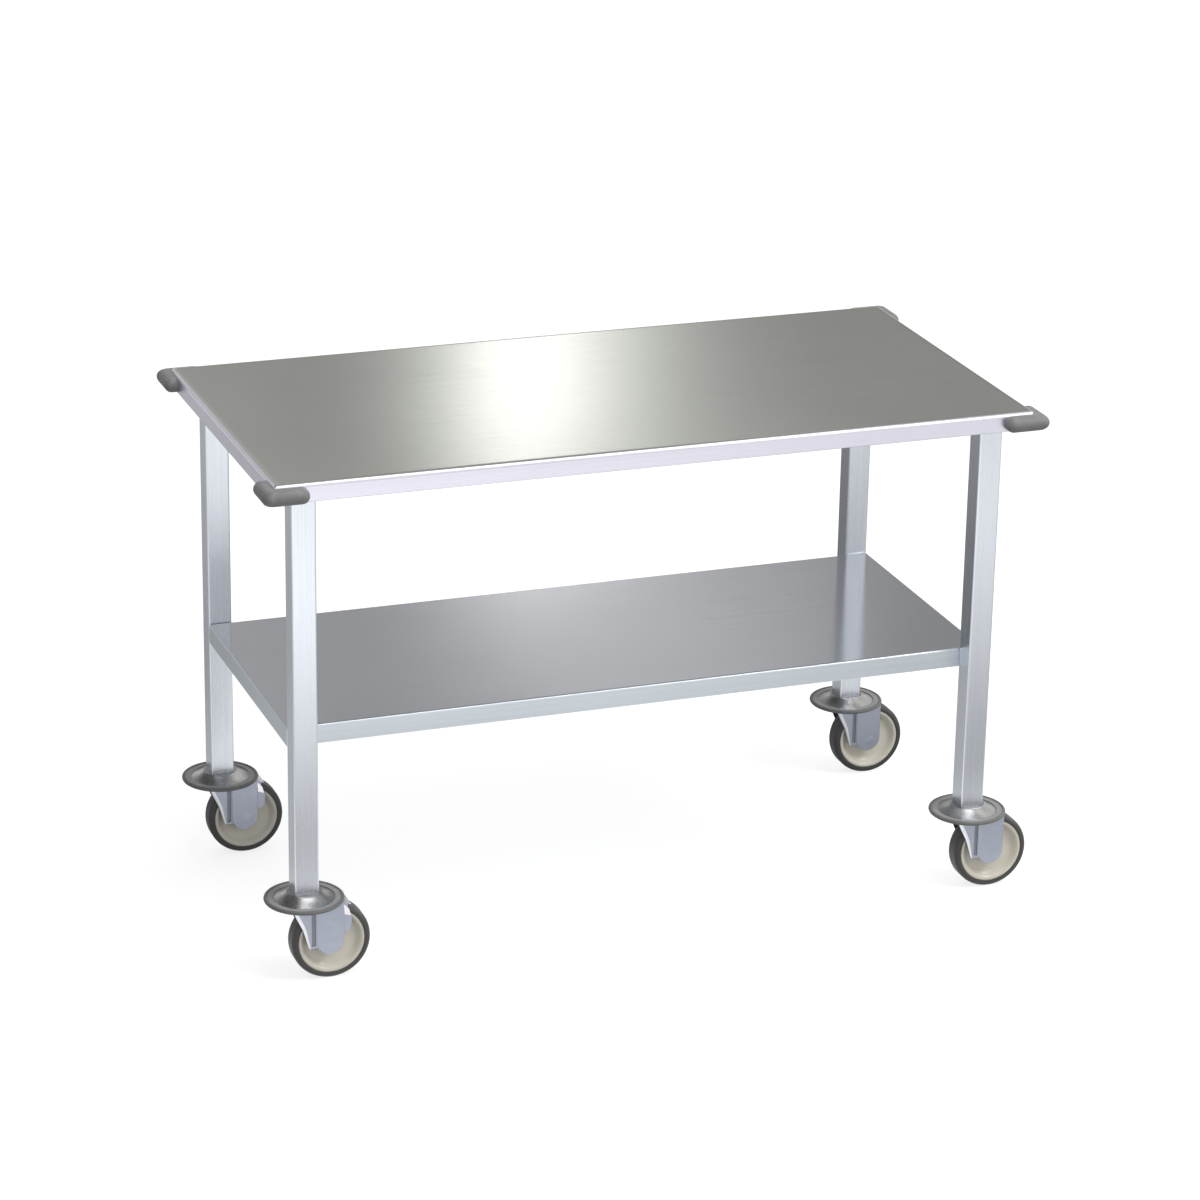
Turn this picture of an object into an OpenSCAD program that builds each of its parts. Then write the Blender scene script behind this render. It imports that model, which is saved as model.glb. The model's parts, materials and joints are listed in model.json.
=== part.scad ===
// Wheeled stainless table with a lower shelf, corner bumpers and four swivel casters.
// Millimetres. +Z is up, +X runs along the table, and -Y is the near long side.
// The origin lies on the floor under the middle of the whole outline, wheels included.

/* [Table top] */
// Length of the top
top_l = 1220; // [1000:10:1500]
// Width of the top
top_w = 610; // [500:10:760]
// Height of the top face above the floor
top_z = 820; // [700:5:950]
// Thickness of the top sheet
top_t = 1.5; // [1:0.1:2.5]
// Depth of the edge that is turned down
top_edge_h = 29; // [27:1:40]
// Outer radius of the rolled edge
top_edge_r = 6; // [3:0.5:8]
// Width of the return flange under the edge
top_return_w = 14; // [8:1:18]

/* [Frame under the top] */
// Width of a box rail
rail_w = 38; // [30:1:45]
// Height of a box rail
rail_h = 17; // [12:1:18]
// Wall of a box rail
rail_t = 1.5; // [1:0.1:2]
// Gap from the end of the top to the end of a long rail
rail_end_gap = 20; // [18:1:40]
// Length of the plate on top of a leg
leg_plate_l = 68; // [66:1:72]
// Width of the plate on top of a leg
leg_plate_w = 50; // [44:1:56]
// Thickness of the plate on top of a leg
leg_plate_t = 3; // [2:0.5:4]

/* [Legs] */
// Width of the square leg tube
leg_w = 38; // [34:1:42]
// Wall of the leg tube
leg_t = 1.5; // [1:0.1:2.5]
// Outer corner radius of the leg tube
leg_r = 3; // [2.6:0.1:5]
// Distance from the end of the top to a leg
end_inset = 36; // [34:1:60]
// Distance from the long side of the top to a leg
side_inset = 37; // [30:1:60]
// Height of the plug in the foot of a leg
plug_h = 30; // [20:1:45]

/* [Shelf] */
// Height of the shelf face above the floor
shelf_z = 408; // [300:1:500]
// Thickness of the shelf sheet
shelf_t = 1.2; // [1:0.1:2]
// Depth of the shelf edge that is turned down
shelf_edge_h = 31; // [26:1:40]
// Outer radius of the rolled shelf edge
shelf_edge_r = 3; // [2:0.5:5]
// Width of the return flange under the shelf edge
shelf_return_w = 12; // [8:1:16]
// Width of the stiffener under the shelf
stiffener_w = 60; // [40:1:90]
// Height of the stiffener under the shelf
stiffener_h = 18; // [10:1:24]

/* [Corner bumpers] */
// How far a corner bumper stands out from the top
bumper_proud = 20; // [16:1:24]
// Height of a corner bumper
bumper_h = 24; // [20:1:28]
// Drop from the top face to the upper side of a corner bumper
bumper_drop = 4; // [2:0.5:6]
// Reach of a bumper arm along the edge from the corner of the top
bumper_arm = 52; // [46:1:80]

/* [Disc bumpers] */
// Outer radius of the rubber ring over a caster
ring_r = 62; // [58:1:70]
// Inner radius of the rubber ring
ring_in_r = 47; // [42:1:50]
// Thickness of the rubber ring
ring_t = 6; // [5:0.5:8]
// Thickness of the steel dish
dish_t = 1.5; // [1:0.1:2]

/* [Casters] */
// Radius of a wheel over its tyre
wheel_r = 62.5; // [55:0.5:70]
// Width of a tyre
wheel_w = 32; // [28:1:34]
// Thickness of a tyre from hub to tread
tyre_t = 10; // [6:0.5:12]
// Radius of a tyre's shoulders
shoulder_r = 7; // [3:0.5:8]
// Trail of an axle behind its swivel
trail = 39; // [34:1:44]
// Width of the space inside a fork
fork_gap = 38; // [37:1:44]
// Thickness of a fork's cheek
cheek_t = 2.5; // [2:0.1:3.5]
// Height of the raised panel on a cheek
panel_t = 1.5; // [1:0.1:2]
// Radius of the stem and king pin
stem_r = 6; // [5:0.5:8]
// Radius of an axle
axle_r = 5; // [4:0.5:6]
// Radius of a swivel ball
ball_r = 3; // [2:0.25:3.5]
// Balls in one swivel
ball_n = 12; // [8:1:16]

/* [Brakes] */
// Radial gap from the tyre to the pedal when the brake is off
brake_gap = 2.5; // [2:0.5:5]
// Thickness of the pedal sheet
pedal_t = 1.5; // [1.2:0.1:2]
// Thickness of the tread plate of the pedal
tread_t = 1.5; // [1:0.5:2.5]

/* [Hidden] */
$fn = 64;

// The four corners: name, side along X, side along Y.
CORNERS = [["fl", -1, -1], ["fr", 1, -1], ["bl", -1, 1], ["br", 1, 1]];
// The casters at the left end carry brakes.
BRAKED = [CORNERS[0], CORNERS[2]];
FRAME_PARTS = ["top_sheet", "top_rail_front", "top_rail_back", "top_cross_left", "top_cross_mid",
    "top_cross_right", "leg_plates", "plate_screws", "shelf_sheet", "shelf_stiffener",
    "shelf_bolts", "shelf_nuts", "bumper_screws", "leg_plugs", "swivel_balls"];
CORNER_PARTS = ["leg", "corner_bumper", "disc_dish", "disc_ring", "caster_stem", "fork", "axle",
    "wheel_bush", "wheel_hub", "tyre"];
BRAKE_PARTS = ["brake_pedal", "brake_pin"];

// Clearances and small fits
eps = 0.5;            // overrun of a cut
run_gap = 0.05;       // radial clearance of a running or threaded fit
hole_gap = 0.1;       // radial clearance of a screw hole
slide_gap = 0.1;      // side clearance of a plug in its tube
ball_gap = 0.3;       // clearance round a ball in its grooves
seat_gap = 0.3;       // end clearance of the king pin's head
grip_gap = 0.05;      // clearance of the dish in the groove of its ring

// Caster stack, from the floor up
crown_gap = 2.5;      // wheel to crown
crown_t = 2.5;
race_h = 6;
collar_t = 3.5;
ring_gap = 1;         // crown to rubber ring
crown_z = 2 * wheel_r + crown_gap;
race_z = crown_z + crown_t;
ball_z = race_z + race_h + ball_r - ball_sunk();
collar_z = ball_z + ball_r - ball_sunk();
foot_z = collar_z + collar_t + dish_t;
ring_z = race_z + ring_gap + ring_t / 2;
function ball_sunk() = ball_r / 6;

// Swivel parts
collar_r = 26;
race_r = 26;
pitch_r = 20;
crown_r = 27;
pin_head_r = 9;
pin_head_t = 5;
stem_top = foot_z + plug_h + stem_r / 2;
stem_chamfer = stem_r / 6;

// Wheel parts
hub_r = wheel_r - tyre_t;
hub_rim_half = wheel_w / 2 - wheel_w / 64;
boss_r = 15;
bush_r = axle_r + 3;
boss_half = fork_gap / 2 - 1;
boss_chamfer = 1;
// Hub face, from the boss out to the rim: shares of the hub radius and of the rim's half width
hub_face_shares = [[0.32, 0.56], [0.42, 0.48], [0.66, 0.50], [0.80, 0.72], [0.90, 0.94], [0.95, 1]];

// Fork
fork_half = fork_gap / 2;
cheek_out = fork_half + cheek_t;
fork_out = cheek_out + panel_t;
pad_r = 22;           // round lower end of a cheek
pad_back = 4;         // pad centre ahead of the axle
pad_lift = 3.5;       // pad centre above the axle
pad_x = trail - pad_back;
pad_z = wheel_r + pad_lift;
tail_x = pad_x + pad_r;
panel_x = pad_x - pad_r;
cheek_top = crown_z + crown_t / 2;
flute_w = 6.5;        // upright flute ahead of the panel
flute_d = cheek_t / 2;
flute_land = 1;       // land between flute and panel
// Front edge of a cheek from the top down: shares of the wheel radius, from the swivel axis and the floor
front_edge_shares = [[-0.35, 1.89], [-0.12, 1.39], [0.02, 0.92], [0.24, 0.90]];
flute_low_share = 0.95;
flute_high_share = 1.95;
rivet_r = axle_r + 3;

// Brake
tread_in = wheel_r + brake_gap;
tread_out = tread_in + tread_t;
tread_from = 64;      // angles at the axle, in degrees
tread_to = 74;
bead_r = brake_gap / 2;   // rolled end of the tread
crown_clear = 1;      // pedal to crown
bead_c = (tread_in + tread_out) / 2;
ear_out = fork_half - pedal_gap();
ear_in = ear_out - pedal_t;
pivot_r = 3;
pivot_eye_r = 7;
// Pivot of the pedal, and corners of its ear: shares of the wheel radius, from the axle
pivot_shares = [0.08, 0.6];
ear_shares = [[0.10, 0.70], [0.345, 1.20], [0.585, 0.99], [0.48, 0.70], [0.50, 0.53], [0.49, 0.38],
    [0.43, 0.25], [0.34, 0.21], [0.13, 0.42]];
pivot_x = trail + pivot_shares[0] * wheel_r;
pivot_z = wheel_r + pivot_shares[1] * wheel_r;
function pedal_gap() = cheek_t / 4;

// Places on the table
leg_x = top_l / 2 - end_inset - leg_w / 2;
leg_y = top_w / 2 - side_inset - leg_w / 2;
rail_z = top_z - top_t - rail_h;
plate_z = rail_z - leg_plate_t;
shelf_l = 2 * leg_x + leg_w;
shelf_w = 2 * leg_y - leg_w;
reach_right = max(top_l / 2 + bumper_proud, leg_x + trail + wheel_r);
reach_left = max(top_l / 2 + bumper_proud, leg_x - trail + wheel_r, leg_x + ring_r);
mid_x = (reach_left - reach_right) / 2;

// Fasteners
m6_r = 3;
m6_head_r = 5.77;
m6_head_t = 4;
m6_end = 5;           // thread that shows past the last wall
screw_clear = 0.7;    // screw head to leg
plate_screw_x = leg_w / 2 + m6_head_r + screw_clear;
shelf_bolt_x = 1.5 * m6_head_r;
shelf_bolt_z = shelf_z - shelf_edge_h / 2;
nut_t = 5;
m5_r = 2.5;
m5_head_r = 4.5;
m5_head_t = 3;
m5_l = 12;
bumper_screw_at = bumper_arm - bumper_h / 2 - m5_head_r;
bumper_z = top_z - bumper_drop - bumper_h / 2;

// Helpers

module at_table() translate([mid_x, 0, 0]) children();

// Puts a shape at a leg, without turning it
module at_leg(c) translate([mid_x + c[1] * leg_x, c[2] * leg_y, 0]) children();

// Draws a shape made for the corner at +X +Y at another corner
module at_corner(c)
    at_table()
        mirror([c[1] < 0 ? 1 : 0, 0, 0])
            mirror([0, c[2] < 0 ? 1 : 0, 0])
                children();

// Flat layer centred on the Z axis, from z0 up by h
module slab(l, w, z0, h) translate([-l / 2, -w / 2, z0]) cube([l, w, h]);

// Rod along Y between two faces
module rod_y(r, y0, y1, sides = $fn)
    translate([0, y1, 0]) rotate([90, 0, 0]) cylinder(r = r, h = y1 - y0, $fn = sides);

// Rod along X between two faces
module rod_x(r, x0, x1, sides = $fn)
    translate([x0, 0, 0]) rotate([0, 90, 0]) cylinder(r = r, h = x1 - x0, $fn = sides);

// Solid with rounded upper and upright edges, its top face at z_top
module pillow(l, w, h, r, z_top) {
    slab(l - 2 * r, w - 2 * r, z_top - h, h);
    slab(l, w - 2 * r, z_top - h, h - r);
    slab(l - 2 * r, w, z_top - h, h - r);
    for (sx = [-1, 1], sy = [-1, 1]) translate([sx * (l / 2 - r), sy * (w / 2 - r), z_top - h]) {
        cylinder(r = r, h = h - r);
        translate([0, 0, h - r]) sphere(r = r);
    }
    for (sy = [-1, 1]) translate([0, sy * (w / 2 - r), z_top - r]) rod_x(r, r - l / 2, l / 2 - r);
    for (sx = [-1, 1]) translate([sx * (l / 2 - r), 0, z_top - r]) rod_y(r, r - w / 2, w / 2 - r);
}

// Folded sheet: flat face, rolled edges turned down, and a return flange inside
module folded_sheet(l, w, h, r, t, flange, z_top) {
    difference() {
        pillow(l, w, h, r, z_top);
        translate([0, 0, -t]) pillow(l - 2 * t, w - 2 * t, h, r - t, z_top);
    }
    difference() {
        slab(l - 2 * t, w - 2 * t, z_top - h, t);
        slab(l - 2 * t - 2 * flange, w - 2 * t - 2 * flange, z_top - h - eps, t + 2 * eps);
        for (sx = [-1, 1], sy = [-1, 1])
            translate([sx * (l / 2 - t), sy * (w / 2 - t), z_top - h + t / 2])
                cube([2 * r, 2 * r, t + 2 * eps], center = true);
    }
}

// Box tube along X
module box_rail(l, w, h, t, z0)
    difference() {
        slab(l, w, z0, h);
        slab(l + 2 * eps, w - 2 * t, z0 + t, h - 2 * t);
    }

// Square with rounded corners
module round_square(w, r) {
    square([w, w - 2 * r], center = true);
    square([w - 2 * r, w], center = true);
    for (sx = [-1, 1], sy = [-1, 1]) translate([sx, sy] * (w / 2 - r)) circle(r = r);
}

// Table top and the frame under it

module top_sheet() color("silver") at_table() difference() {
    folded_sheet(top_l, top_w, top_edge_h, top_edge_r, top_t, top_return_w, top_z);
    for (c = CORNERS) mirror([c[1] < 0 ? 1 : 0, 0, 0]) mirror([0, c[2] < 0 ? 1 : 0, 0])
        bumper_screw_places() rod_x(m5_r + hole_gap, -top_t - eps, eps);
}

module top_rail(side) color("lightgray") at_table() translate([0, side * leg_y, 0]) difference() {
    box_rail(top_l - 2 * rail_end_gap, rail_w, rail_h, rail_t, rail_z);
    for (sx = [-1, 1], dx = [-1, 1])
        translate([sx * leg_x + dx * plate_screw_x, 0, rail_z - eps])
            cylinder(r = m6_r + run_gap, h = rail_t + 2 * eps);
}

module top_cross(x) color("lightgray") at_table() translate([x, 0, 0])
    rotate([0, 0, 90]) box_rail(2 * leg_y - rail_w, rail_w, rail_h, rail_t, rail_z);

module leg_plates() color("gray") for (c = CORNERS) at_leg(c) difference() {
    slab(leg_plate_l, leg_plate_w, plate_z, leg_plate_t);
    for (dx = [-1, 1]) translate([dx * plate_screw_x, 0, plate_z - eps])
        cylinder(r = m6_r + hole_gap, h = leg_plate_t + 2 * eps);
}

module plate_screws() color("dimgray") for (c = CORNERS, dx = [-1, 1])
    at_leg(c) translate([dx * plate_screw_x, 0, plate_z]) {
        translate([0, 0, -m6_head_t]) cylinder(r = m6_head_r, h = m6_head_t, $fn = 6);
        cylinder(r = m6_r, h = leg_plate_t + rail_t + m6_end);
    }

// Legs and their plugs

module leg(c) color("gainsboro") at_leg(c) difference() {
    translate([0, 0, foot_z]) linear_extrude(plate_z - foot_z) difference() {
        round_square(leg_w, leg_r);
        round_square(leg_w - 2 * leg_t, leg_r - leg_t);
    }
    for (dx = [-1, 1]) translate([dx * shelf_bolt_x, 0, shelf_bolt_z])
        rod_y(m6_r + hole_gap, c[2] < 0 ? 0 : -leg_w / 2 - eps, c[2] < 0 ? leg_w / 2 + eps : 0);
}

module leg_plugs() color("gray") for (c = CORNERS) at_leg(c) difference() {
    translate([0, 0, foot_z]) linear_extrude(plug_h)
        round_square(leg_w - 2 * leg_t - 2 * slide_gap, leg_r - leg_t);
    translate([0, 0, foot_z - eps]) cylinder(r = stem_r + run_gap, h = plug_h + 2 * eps);
}

// Shelf

module shelf_sheet() color("silver") at_table() difference() {
    folded_sheet(shelf_l, shelf_w, shelf_edge_h, shelf_edge_r, shelf_t, shelf_return_w, shelf_z);
    for (sx = [-1, 1], sy = [-1, 1], dx = [-1, 1])
        translate([sx * leg_x + dx * shelf_bolt_x, sy * (shelf_w - shelf_t) / 2, shelf_bolt_z])
            rod_y(m6_r + hole_gap, -shelf_t / 2 - eps, shelf_t / 2 + eps);
}

module shelf_stiffener() color("lightgray") at_table()
    box_rail(shelf_l - 2 * shelf_t - 2 * stiffener_h, stiffener_w, stiffener_h, shelf_t,
        shelf_z - shelf_t - stiffener_h);

// Draws what is fixed at each shelf bolt, with +Y pointing from the shelf into the leg
module at_shelf_bolts() for (c = CORNERS, dx = [-1, 1])
    at_corner(c) translate([leg_x + dx * shelf_bolt_x, leg_y - leg_w / 2, shelf_bolt_z]) children();

module shelf_bolts() color("dimgray") at_shelf_bolts() {
    rod_y(m6_head_r, -shelf_t - m6_head_t, -shelf_t, 6);
    rod_y(m6_r, -shelf_t, leg_t + nut_t + m6_end);
}

module shelf_nuts() color("dimgray") at_shelf_bolts() difference() {
    rod_y(m6_head_r, leg_t, leg_t + nut_t, 6);
    rod_y(m6_r + run_gap, leg_t - eps, leg_t + nut_t + eps);
}

// Corner bumpers

// Draws a shape at both screws of the bumper at +X +Y, with +X pointing out of the edge
module bumper_screw_places() {
    translate([top_l / 2, top_w / 2 - bumper_screw_at, bumper_z]) children();
    translate([top_l / 2 - bumper_screw_at, top_w / 2, bumper_z]) rotate([0, 0, 90]) children();
}

// One arm along X: flat back, round front and round end
module bumper_arm_x() {
    r = bumper_h / 2;
    nose = bumper_proud - r;
    x0 = top_l / 2 - bumper_arm + r;
    x1 = top_l / 2 + nose;
    y0 = top_w / 2 - top_edge_r;
    translate([x0, y0, bumper_z - r]) cube([x1 - x0, top_edge_r + nose, bumper_h]);
    translate([x0, 0, bumper_z]) rod_y(r, y0, top_w / 2 + nose);
    translate([0, top_w / 2 + nose, bumper_z]) rod_x(r, x0, x1);
    for (x = [x0, x1]) translate([x, top_w / 2 + nose, bumper_z]) sphere(r = r);
}

module corner_bumper(c) color("gray") at_corner(c) difference() {
    union() {
        bumper_arm_x();
        // The arm along Y is the same arm turned over the corner's diagonal.
        translate([top_l / 2, top_w / 2, 0]) mirror([1, -1, 0]) translate([-top_l / 2, -top_w / 2, 0])
            bumper_arm_x();
    }
    slab(top_l, top_w - 2 * top_edge_r, 0, top_z);
    slab(top_l - 2 * top_edge_r, top_w, 0, top_z);
    translate([top_l / 2 - top_edge_r, top_w / 2 - top_edge_r, 0]) cylinder(r = top_edge_r, h = top_z);
    bumper_screw_places() rod_x(m5_r + run_gap, -eps, m5_l + eps);
}

module bumper_screws() color("dimgray") for (c = CORNERS) at_corner(c) bumper_screw_places() {
    rod_x(m5_head_r, -top_t - m5_head_t, -top_t);
    rod_x(m5_r, -top_t, m5_l);
}

// Disc bumpers: a steel dish clamped under the leg, and a rubber ring on its rim

module disc_dish(c) color("darkgray") at_leg(c) rotate_extrude() {
    r0 = stem_r + hole_gap;
    seat_r = leg_w / sqrt(2);
    rim_r = (ring_r + ring_in_r) / 2 - ring_t / 2;
    rim_z = ring_z + dish_t / 2;
    upper = [[r0, foot_z], [seat_r, foot_z], [ring_in_r, rim_z], [rim_r, rim_z]];
    polygon(concat(upper, [for (i = [len(upper) - 1:-1:0]) upper[i] - [0, dish_t]]));
}

module disc_ring(c) color("dimgray") at_leg(c) translate([0, 0, ring_z]) rotate_extrude() difference() {
    union() {
        translate([ring_in_r + ring_t / 2, -ring_t / 2])
            square([ring_r - ring_in_r - ring_t, ring_t]);
        for (r = [ring_in_r + ring_t / 2, ring_r - ring_t / 2]) translate([r, 0]) circle(r = ring_t / 2);
    }
    translate([ring_in_r - eps, -dish_t / 2 - grip_gap])
        square([(ring_r - ring_in_r) / 2 - ring_t / 2 + grip_gap + eps, dish_t + 2 * grip_gap]);
}

// Swivels: stem with upper race and king pin, balls, and the lower race on the fork

module ball_groove() translate([0, 0, ball_z]) rotate_extrude()
    translate([pitch_r, 0]) circle(r = ball_r + ball_gap);

module caster_stem(c) color("lightslategray") at_leg(c) difference() {
    rotate_extrude() polygon([
        [0, crown_z - seat_gap - pin_head_t], [pin_head_r, crown_z - seat_gap - pin_head_t],
        [pin_head_r, crown_z - seat_gap], [stem_r, crown_z - seat_gap], [stem_r, collar_z],
        [collar_r, collar_z], [collar_r, collar_z + collar_t], [stem_r, collar_z + collar_t],
        [stem_r, stem_top - stem_chamfer], [stem_r - stem_chamfer, stem_top], [0, stem_top]]);
    ball_groove();
}

module swivel_balls() color("white") for (c = CORNERS, i = [0:ball_n - 1])
    at_leg(c) rotate([0, 0, 360 * i / ball_n]) translate([pitch_r, 0, ball_z]) sphere(r = ball_r);

// Forks

module crown() {
    translate([0, 0, crown_z]) {
        cylinder(r = crown_r, h = crown_t);
        translate([0, -fork_out, 0]) cube([tail_x, 2 * fork_out, crown_t]);
    }
    translate([0, 0, race_z]) cylinder(r = race_r, h = race_h);
}

// Outline of a cheek, X to the rear and Y up
module cheek_outline() {
    polygon(concat(
        [for (p = front_edge_shares) p * wheel_r],
        [[pad_x, pad_z], [tail_x, pad_z], [tail_x, cheek_top],
            [front_edge_shares[0][0] * wheel_r, cheek_top]]));
    translate([pad_x, pad_z]) circle(r = pad_r);
}

module panel_outline() {
    translate([panel_x, pad_z]) square([2 * pad_r, cheek_top - pad_z]);
    translate([pad_x, pad_z]) circle(r = pad_r);
}

module flute_outline()
    translate([panel_x - flute_land - flute_w, flute_low_share * wheel_r])
        square([flute_w, (flute_high_share - flute_low_share) * wheel_r]);

// Upright sheet from y0 to y1, cut to an outline in X and Z
module upright(y0, y1) translate([0, y1, 0]) rotate([90, 0, 0]) linear_extrude(y1 - y0) children();

module cheek() difference() {
    union() {
        upright(fork_half, cheek_out) cheek_outline();
        upright(cheek_out, fork_out) panel_outline();
    }
    upright(cheek_out - flute_d, fork_out + eps) flute_outline();
}

module fork(c, braked) color("lightsteelblue") at_leg(c) difference() {
    union() {
        crown();
        cheek();
        mirror([0, 1, 0]) cheek();
    }
    translate([0, 0, crown_z - eps]) cylinder(r = stem_r + run_gap, h = crown_t + race_h + 2 * eps);
    ball_groove();
    translate([trail, 0, wheel_r]) {
        rod_y(axle_r + run_gap, -fork_out - eps, fork_out + eps);
        for (y0 = [-fork_out - eps, cheek_out]) rod_y(rivet_r + run_gap, y0, y0 + panel_t + eps);
    }
    if (braked) translate([pivot_x, 0, pivot_z]) rod_y(pivot_r + run_gap, -fork_out - eps, fork_out + eps);
}

// Wheels: axle, bush, hub and tyre

module at_axle(c) at_leg(c) translate([trail, 0, wheel_r]) children();

module axle(c) color("gray") at_axle(c) {
    rod_y(axle_r, -fork_out, fork_out);
    for (y0 = [-fork_out, cheek_out]) rod_y(rivet_r, y0, y0 + panel_t);
}

module wheel_bush(c) color("slategray") at_axle(c) difference() {
    rod_y(bush_r, -fork_half, fork_half);
    rod_y(axle_r + run_gap, -fork_half - eps, fork_half + eps);
}

module wheel_hub(c) color("wheat") at_axle(c) rotate([90, 0, 0]) rotate_extrude() {
    face = concat(
        [[bush_r + run_gap, boss_half], [boss_r - boss_chamfer, boss_half], [boss_r, boss_half - boss_chamfer]],
        [for (s = hub_face_shares) [max(s[0] * hub_r, boss_r + boss_chamfer), s[1] * hub_rim_half]],
        [[hub_r, hub_rim_half]]);
    polygon(concat(face, [for (i = [len(face) - 1:-1:0]) [face[i][0], -face[i][1]]]));
}

module tyre(c) color("dimgray") at_axle(c) rotate([90, 0, 0]) rotate_extrude() intersection() {
    translate([hub_r, -wheel_w / 2]) square([tyre_t, wheel_w]);
    union() {
        translate([0, shoulder_r - wheel_w / 2]) square([wheel_r, wheel_w - 2 * shoulder_r]);
        translate([0, -wheel_w / 2]) square([wheel_r - shoulder_r, wheel_w]);
        for (sy = [-1, 1]) translate([wheel_r - shoulder_r, sy * (wheel_w / 2 - shoulder_r)])
            circle(r = shoulder_r);
    }
}

// Brakes: a pedal over the tyre, on two stub pins in the cheeks

// Room that the rear end of the crown takes, from the axle
module crown_room() translate([-wheel_r, crown_z - wheel_r - crown_clear])
    square([wheel_r + tail_x - trail + crown_clear, wheel_r]);

module tread_outline() difference() {
    intersection() {
        circle(r = tread_out);
        polygon([[0, 0], 2 * wheel_r * [cos(tread_from), sin(tread_from)],
            2 * wheel_r * [cos(tread_to), sin(tread_to)]]);
    }
    circle(r = tread_in);
    crown_room();
}

module ear_outline() difference() {
    union() {
        intersection() {
            circle(r = tread_out);
            polygon(ear_shares * wheel_r);
        }
        translate(pivot_shares * wheel_r) circle(r = pivot_eye_r);
    }
    translate(pivot_shares * wheel_r) circle(r = pivot_r + run_gap);
    crown_room();
}

module brake_pedal(c) color("whitesmoke") at_axle(c) {
    upright(-ear_out, ear_out) tread_outline();
    for (y0 = [-ear_out, ear_in]) upright(y0, y0 + pedal_t) ear_outline();
    translate(bead_c * [cos(tread_from), 0, sin(tread_from)]) rod_y(bead_r, -ear_out, ear_out);
}

module brake_pin(c) color("gray") at_leg(c) translate([pivot_x, 0, pivot_z])
    for (y0 = [-fork_out, ear_in]) rod_y(pivot_r, y0, y0 + fork_out - ear_in);

top_sheet();
top_rail(-1);  // top_rail_front
top_rail(1);  // top_rail_back
top_cross(-leg_x);  // top_cross_left
top_cross(0);  // top_cross_mid
top_cross(leg_x);  // top_cross_right
leg_plates();
plate_screws();
shelf_sheet();
shelf_stiffener();
shelf_bolts();
shelf_nuts();
bumper_screws();
leg_plugs();
swivel_balls();
for (c = CORNERS) {
    leg(c);
    corner_bumper(c);
    disc_dish(c);
    disc_ring(c);
    caster_stem(c);
    fork(c, c[1] < 0);
    axle(c);
    wheel_bush(c);
    wheel_hub(c);
    tyre(c);
}
for (c = BRAKED) {
    brake_pedal(c);
    brake_pin(c);
}
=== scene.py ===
# %% [markdown]
# A wheeled steel table: a folded top with rubber corners, four square legs, a lower shelf and
# four swivel casters, two of them with brakes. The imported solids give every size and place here.
# Each piece that shows gets a finer mesh or a better surface, and stays on the body it moves with.

import json
import math

import bmesh
import bpy
from mathutils import Matrix, Vector


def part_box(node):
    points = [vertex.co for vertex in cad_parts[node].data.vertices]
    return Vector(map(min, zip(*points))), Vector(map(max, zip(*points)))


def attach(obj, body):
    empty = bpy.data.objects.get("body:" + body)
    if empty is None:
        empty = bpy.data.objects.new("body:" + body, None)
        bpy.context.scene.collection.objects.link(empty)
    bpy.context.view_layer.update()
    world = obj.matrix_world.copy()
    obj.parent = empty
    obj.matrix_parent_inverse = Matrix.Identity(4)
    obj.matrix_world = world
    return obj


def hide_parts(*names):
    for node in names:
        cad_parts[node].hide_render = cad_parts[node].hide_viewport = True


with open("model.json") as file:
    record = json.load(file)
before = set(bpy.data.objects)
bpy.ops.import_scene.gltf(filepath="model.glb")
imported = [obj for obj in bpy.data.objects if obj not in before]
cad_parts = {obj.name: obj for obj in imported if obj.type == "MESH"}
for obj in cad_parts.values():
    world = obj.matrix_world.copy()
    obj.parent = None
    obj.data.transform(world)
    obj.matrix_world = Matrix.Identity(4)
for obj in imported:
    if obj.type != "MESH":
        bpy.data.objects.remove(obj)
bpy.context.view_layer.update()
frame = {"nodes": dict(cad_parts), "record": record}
MM = 0.001
CORNERS = {"fl": (-1, -1), "fr": (1, -1), "bl": (-1, 1), "br": (1, 1)}
BRAKED = ("fl", "bl")

# %% [markdown]
# The camera stands where the photographer stood: to the left of the near side, a little above
# the top, far away with a long lens. Its place was solved from the table's own edges, so it is
# set with a point, three angles and a lens, and needs no shift.

# %% Camera
CAMERA_PLACE = Vector((-2.09885, -5.6910, 2.7293))
CAMERA_YAW, CAMERA_DIP, CAMERA_ROLL = (math.radians(a) for a in (20.21, 20.46, 0.99))
LENS_MM, SENSOR_MM = 121.64, 36.0


def camera_turn(yaw, dip, roll):
    ahead = Vector((math.sin(yaw) * math.cos(dip), math.cos(yaw) * math.cos(dip), -math.sin(dip)))
    level = Vector((math.cos(yaw), -math.sin(yaw), 0))
    upward = level.cross(ahead)
    right = math.cos(roll) * level + math.sin(roll) * upward
    up = math.cos(roll) * upward - math.sin(roll) * level
    return Matrix((right, up, -ahead)).transposed().to_4x4()


lens = bpy.data.cameras.new("camera")
lens.lens, lens.sensor_width = LENS_MM, SENSOR_MM
lens.clip_start, lens.clip_end = 0.1, 100
camera = bpy.data.objects.new("camera", lens)
bpy.context.scene.collection.objects.link(camera)
camera.matrix_world = Matrix.Translation(CAMERA_PLACE) @ camera_turn(CAMERA_YAW, CAMERA_DIP, CAMERA_ROLL)
bpy.context.scene.camera = camera
bpy.context.scene.view_settings.view_transform = "Standard"
print("camera at", [round(v, 3) for v in CAMERA_PLACE])

# %% [markdown]
# The light, the sheets and the materials are all small trees of shader nodes. A few helpers build
# them: one adds a node, one feeds a socket with a number or a link, and the others add, step and
# blend numbers and colours. That keeps each tree to a few lines that read like a formula.

# %% Shader helpers
def add_node(tree, kind, **settings):
    node = tree.nodes.new(kind)
    for key, value in settings.items():
        setattr(node, key, value)
    return node


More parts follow.
